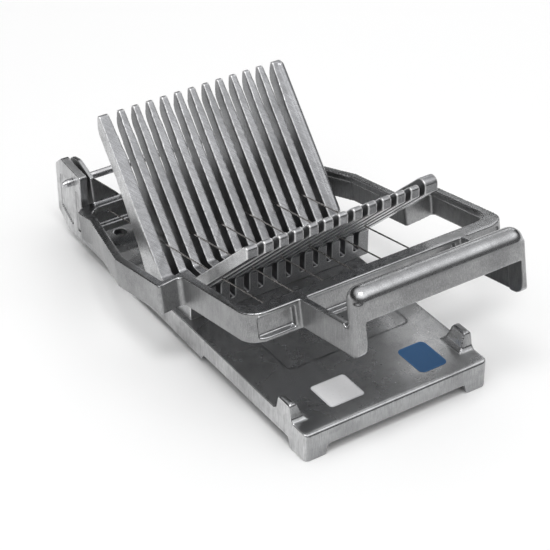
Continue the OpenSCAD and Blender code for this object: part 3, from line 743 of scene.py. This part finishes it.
    def add_bead(self, grid: bmesh.types.BMesh) -> None:
        """Adds the round bead along the outer edge of the right fin.

        Args:
            grid: The mesh that takes it.
        """
        along = Vector((0.0, math.cos(self.fin_angle), math.sin(self.fin_angle)))
        behind = Vector((0.0, math.sin(self.fin_angle), -math.cos(self.fin_angle)))
        slope_length = (self.fin_height - self.floor_height) / math.sin(self.fin_angle)
        length = slope_length - 2 * self.bead_radius
        start = Vector((self.half_width, self.slope_place(self.floor_height), self.floor_height))
        start += along * self.bead_radius + behind * (self.bead_radius - self.bead_out)
        turn = along.to_track_quat("Z", "Y").to_matrix().to_4x4()
        bmesh.ops.create_cone(grid, cap_ends=True, segments=self.bead_sides, depth=length,
                              radius1=self.bead_radius, radius2=self.bead_radius,
                              matrix=Matrix.Translation(start + along * length / 2) @ turn)
        for place in (start, start + along * length):
            bmesh.ops.create_uvsphere(grid, u_segments=self.bead_sides,
                                      v_segments=self.bead_sides // 2, radius=self.bead_radius,
                                      matrix=Matrix.Translation(place))

    def build(self) -> None:
        """Builds the casting in the place of the CAD model's, then rounds and dresses it."""
        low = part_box(self.node)[0]
        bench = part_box("base_casting")[0].z
        place = Vector((low.x + self.half_width, low.y + self.lip_reach, bench))
        mesh = bpy.data.meshes.new("cradle")
        grid = bmesh.new()
        for plate in self.plates():
            plate.add_to(grid)
        self.add_bead(grid)
        bmesh.ops.translate(grid, verts=grid.verts, vec=place)
        bmesh.ops.recalc_face_normals(grid, faces=grid.faces)
        grid.to_mesh(mesh)
        grid.free()
        mesh.materials.append(self.finish.material())
        self.piece = add_object("cradle", mesh)
        self.round_edges()
        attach(self.piece, "base")
        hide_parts(self.node)
        log.info("%s replaced", self.node)


@dataclass
class Fasteners(CadPiece):
    """A group of like small pieces: studs, nuts, screws or sleeves."""

    chamfer: float = 0.12 * MM
    least_angle: float = math.radians(40)

    def build(self) -> None:
        """Breaks the sharp edges and dresses the group."""
        piece = self.thing()
        weld = piece.modifiers.new("seams", "WELD")
        weld.merge_threshold = self.chamfer * WELD_SHARE
        edge = piece.modifiers.new("edges", "BEVEL")
        edge.width = self.chamfer
        edge.segments = 2
        edge.limit_method = "ANGLE"
        edge.angle_limit = self.least_angle
        self.dress()


@dataclass
class Base:
    """The base casting, the cradle on it, its screws and the hinge rod."""

    castings: list[Casting] = field(default_factory=lambda: [
        Casting("base_casting", CastAluminium("ground_base", "base_cast",
                                              wall=(0.45, 0.455, 0.46),
                                              # The faces that look towards -X get a lighter tone: a
                                              # painted reflection of the floor beside them
                                              left_reflection_tone=(0.68, 0.683, 0.687),
                                              ground=(0.39, 0.394, 0.40),
                                              ground_roughness=0.27,
                                              ground_span=(0.90, 0.985))),
        Cradle("cradle_casting", CastAluminium("brushed_cradle", "cradle_cast",
                                               # Its upright faces take a darker tone, partly as cast
                                               # skin and partly as painted shade between the fins
                                               wall=(0.31, 0.313, 0.32),
                                               ground=(0.40, 0.405, 0.42),
                                               # The outer face of the end fin at -X gets a lighter
                                               # tone: a painted reflection of the floor
                                               left_reflection_tone=(0.82, 0.825, 0.83),
                                               left_reflection_limit=-55.5 * MM,
                                               grain_share=0.45,
                                               ground_grain_share=0.36,
                                               edge_span=(0.51, 0.55),
                                               ground_roughness=0.27,
                                               grain=Direction.DOWN_THE_FINS,
                                               grain_depth=0.03 * MM,
                                               ground_span=(0.45, 0.6)), passes=4),
    ])
    rod: CadPiece = field(default_factory=lambda: CadPiece(
        "hinge_rod", DrawnSteel("polished_rod", "rod_steel", clean=(0.72, 0.72, 0.73))))
    screws: Fasteners = field(default_factory=lambda: Fasteners(
        "cradle_screws", DrawnSteel("screw_steel", "screw_steel", line=Direction.UPRIGHT)))

    def build(self) -> None:
        """Builds and dresses every piece that stands still."""
        for casting in self.castings:
            casting.build()
        self.rod.dress()
        self.screws.build()


@dataclass
class Arm:
    """The arm casting with its wires and all that holds them."""

    casting: Casting = field(default_factory=lambda: Casting(
        "arm_casting", CastAluminium("cast_arm", "arm_cast",
                                     ground_roughness=0.24,
                                     ground_span=(0.90, 0.98)),
        passes=10))
    wire_count: int = 6
    wire: DrawnSteel = DrawnSteel("wire_steel", "wire_steel", clean=(0.50, 0.47, 0.44),
                                  roughness=0.25, line=Direction.ALONG_Y)
    trim: DrawnSteel = DrawnSteel("trim_steel", "screw_steel", line=Direction.ALONG_Y)

    def build(self) -> None:
        """Builds and dresses every piece that swings."""
        self.casting.build()
        for number in range(1, self.wire_count + 1):
            CadPiece(f"wire_{number}", self.wire).dress()
        for name in ("wire_sleeves", "set_screws", "tension_studs", "tension_nuts"):
            Fasteners(name, self.trim).build()


@dataclass
class Label:
    """A blank label of thin film with round corners, stuck flat on the deck."""

    name: str
    finish: PrintedFilm
    place: Vector
    thickness: float = 0.16 * MM
    corner: float = 2.2 * MM
    steps: int = 8

    def outline(self) -> list[tuple[float, float]]:
        """Works out the label's outline with its round corners.

        Returns:
            The points of the outline, in metres, anticlockwise.
        """
        inner_x = self.finish.half_width - self.corner
        inner_y = self.finish.half_length - self.corner
        points = []
        for quarter, (side_x, side_y) in enumerate(((1, 1), (-1, 1), (-1, -1), (1, -1))):
            for step in range(self.steps + 1):
                angle = math.radians(90) * (quarter + step / self.steps)
                points.append((side_x * inner_x + self.corner * math.cos(angle),
                               side_y * inner_y + self.corner * math.sin(angle)))
        return points

    def build(self) -> None:
        """Builds the label and sticks it to the base."""
        mesh = bpy.data.meshes.new(self.name)
        grid = bmesh.new()
        face = grid.faces.new([grid.verts.new((x, y, 0.0)) for x, y in self.outline()])
        raised = bmesh.ops.extrude_face_region(grid, geom=[face])
        tops = [part for part in raised["geom"] if isinstance(part, bmesh.types.BMVert)]
        bmesh.ops.translate(grid, verts=tops, vec=(0.0, 0.0, self.thickness))
        bmesh.ops.recalc_face_normals(grid, faces=grid.faces)
        grid.to_mesh(mesh)
        grid.free()
        mesh.materials.append(self.finish.material())
        label = add_object(self.name, mesh)
        label.matrix_world = Matrix.Translation(self.place)
        edge = label.modifiers.new("edge", "BEVEL")
        edge.width = self.thickness / 3
        edge.segments = 2
        edge.limit_method = "ANGLE"
        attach(label, "base")
        log.info("%s built", self.name)


@dataclass(frozen=True)
class SoftBox:
    """A soft lamp that hangs beside or above the slicer."""

    name: str
    place: tuple[float, float, float]
    width: float
    height: float
    watts: float

    def build(self, target: Vector) -> None:
        """Hangs the lamp and turns it towards the slicer.

        Args:
            target: The point that it shines on.
        """
        data = bpy.data.lights.new(self.name, "AREA")
        data.shape = "RECTANGLE"
        data.size = self.width
        data.size_y = self.height
        data.energy = self.watts
        lamp = add_object(self.name, data)
        place = Vector(self.place)
        lamp.location = place
        lamp.rotation_euler = (target - place).to_track_quat("-Z", "Y").to_euler()
        lamp.visible_camera = False


@dataclass
class Studio:
    """The white floor, the soft light and the camera at the photograph's angle.

    Each level of the surround's light gives way to the next one over a span of the upward part of
    the direction, and the front gives way to the rear over a span of its part along Y.
    """

    floor_half: float = 6.0
    floor_colour: Colour = (0.97, 0.97, 0.97)
    floor_roughness: float = 0.9
    backdrop: float = 0.9
    rear_dark: float = 0.05
    front_dark: float = 0.14
    front_bright: float = 1.7
    overhead: float = 1.1
    rear_dark_span: Span = (0.02, 0.15)
    rear_overhead_span: Span = (0.50, 0.88)
    front_bright_span: Span = (0.38, 0.80)
    front_overhead_span: Span = (0.80, 0.97)
    rear_span: Span = (-0.25, 0.15)
    aim: tuple[float, float, float] = (0.0, -0.1, 0.0)
    boxes: tuple[SoftBox, ...] = (
        SoftBox("top_box", (-0.25, -0.45, 1.20), 0.5, 0.3, 4.0),
        SoftBox("right_box", (1.0, 0.75, 0.75), 0.9, 0.5, 2.0),
    )
    camera_place: tuple[float, float, float] = (-0.4923, -0.8582, 0.6352)
    camera_pitch: float = math.radians(55.36)
    camera_yaw: float = math.radians(-33.39)
    lens: float = 124.1
    sensor: float = 36.0

    def floor(self) -> None:
        """Lays the floor on which the slicer stands."""
        mesh = bpy.data.meshes.new("floor")
        half = self.floor_half
        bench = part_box("base_casting")[0].z
        corners = [(x * half, y * half, bench) for x, y in ((-1, -1), (1, -1), (1, 1), (-1, 1))]
        mesh.from_pydata(corners, [], [(0, 1, 2, 3)])
        graph = Graph("white_floor")
        graph.feed(graph.shader.inputs["Base Color"], self.floor_colour)
        graph.shader.inputs["Roughness"].default_value = self.floor_roughness
        graph.shader.inputs["Specular IOR Level"].default_value = 0.0
        mesh.materials.append(graph.material)
        floor = add_object("floor", mesh)

    def world(self) -> None:
        """Makes the surround: pale overhead and high in front, dark behind and low in front."""
        world = bpy.data.worlds.new("surround")
        bpy.context.scene.world = world
        world.use_nodes = True
        tree = world.node_tree

        def step(source: bpy.types.NodeSocket, span: Span) -> bpy.types.NodeSocket:
            """Maps a span of directions smoothly onto 0 to 1.

            Args:
                source: One part of the direction.
                span: The values of it that give 0 and 1.

            Returns:
                The mapped number's socket.
            """
            node = tree.nodes.new("ShaderNodeMapRange")
            node.interpolation_type = "SMOOTHSTEP"
            node.inputs["From Min"].default_value, node.inputs["From Max"].default_value = span
            tree.links.new(source, node.inputs["Value"])
            return node.outputs["Result"]

        def blend(share: bpy.types.NodeSocket, low: object, high: object) -> bpy.types.NodeSocket:
            """Mixes two levels of light.

            Args:
                share: How much of the second level there is, from 0 to 1.
                low: The first level.
                high: The second level.

            Returns:
                The mixed level's socket.
            """
            node = tree.nodes.new("ShaderNodeMix")
            sockets = (node.inputs[0], node.inputs[2], node.inputs[3])
            for socket, value in zip(sockets, (share, low, high)):
                if isinstance(value, bpy.types.NodeSocket):
                    tree.links.new(value, socket)
                else:
                    socket.default_value = value
            return node.outputs[0]

        place = tree.nodes.new("ShaderNodeTexCoord")
        split = tree.nodes.new("ShaderNodeSeparateXYZ")
        tree.links.new(place.outputs["Generated"], split.inputs[0])
        rise = split.outputs["Z"]
        rear = blend(step(rise, self.rear_dark_span), self.backdrop, self.rear_dark)
        rear = blend(step(rise, self.rear_overhead_span), rear, self.overhead)
        front = blend(step(rise, self.front_bright_span), self.front_dark, self.front_bright)
        front = blend(step(rise, self.front_overhead_span), front, self.overhead)
        level = blend(step(split.outputs["Y"], self.rear_span), front, rear)
        background = tree.nodes["Background"]
        tree.links.new(level, background.inputs["Color"])
        background.inputs["Strength"].default_value = 1.0

    def camera(self) -> None:
        """Sets the camera at the photograph's viewing angle."""
        data = bpy.data.cameras.new("camera")
        data.lens = self.lens
        data.sensor_width = self.sensor
        camera = add_object("camera", data)
        camera.location = self.camera_place
        camera.rotation_euler = (self.camera_pitch, 0.0, self.camera_yaw)
        bpy.context.scene.camera = camera

    def build(self) -> None:
        """Sets up the camera first, then the light and the floor."""
        self.camera()
        self.world()
        for box in self.boxes:
            box.build(Vector(self.aim))
        self.floor()
        bpy.context.scene.view_settings.view_transform = "Standard"
        log.info("studio built")


def deck_labels() -> list[Label]:
    """Lists the two blank labels that stand on the front of the deck.

    Returns:
        The labels.
    """
    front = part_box("base_casting")[0].y
    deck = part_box("base_casting")[0].z + DECK_HEIGHT
    white_place = Vector((-24.2 * MM, front + 23.0 * MM, deck))
    blue_place = Vector((31.8 * MM, front + 22.0 * MM, deck))
    white = PrintedFilm("white_film", face=(0.78, 0.78, 0.79), border=(0.62, 0.62, 0.64),
                        half_width=11.2 * MM, half_length=10.4 * MM)
    blue = PrintedFilm("blue_film", face=(0.009, 0.078, 0.205), border=(0.018, 0.10, 0.25),
                       half_width=9.2 * MM, half_length=12.0 * MM, roughness=0.45)
    return [Label("white_label", white, white_place),
            Label("blue_label", blue, blue_place, corner=3.4 * MM)]


def main() -> None:
    """Builds the studio, the base, the labels on it and the arm."""
    logging.basicConfig(level=logging.INFO, format="%(name)s: %(message)s")
    Studio().build()
    Base().build()
    for label in deck_labels():
        label.build()
    Arm().build()


if __name__ == "__main__":
    main()
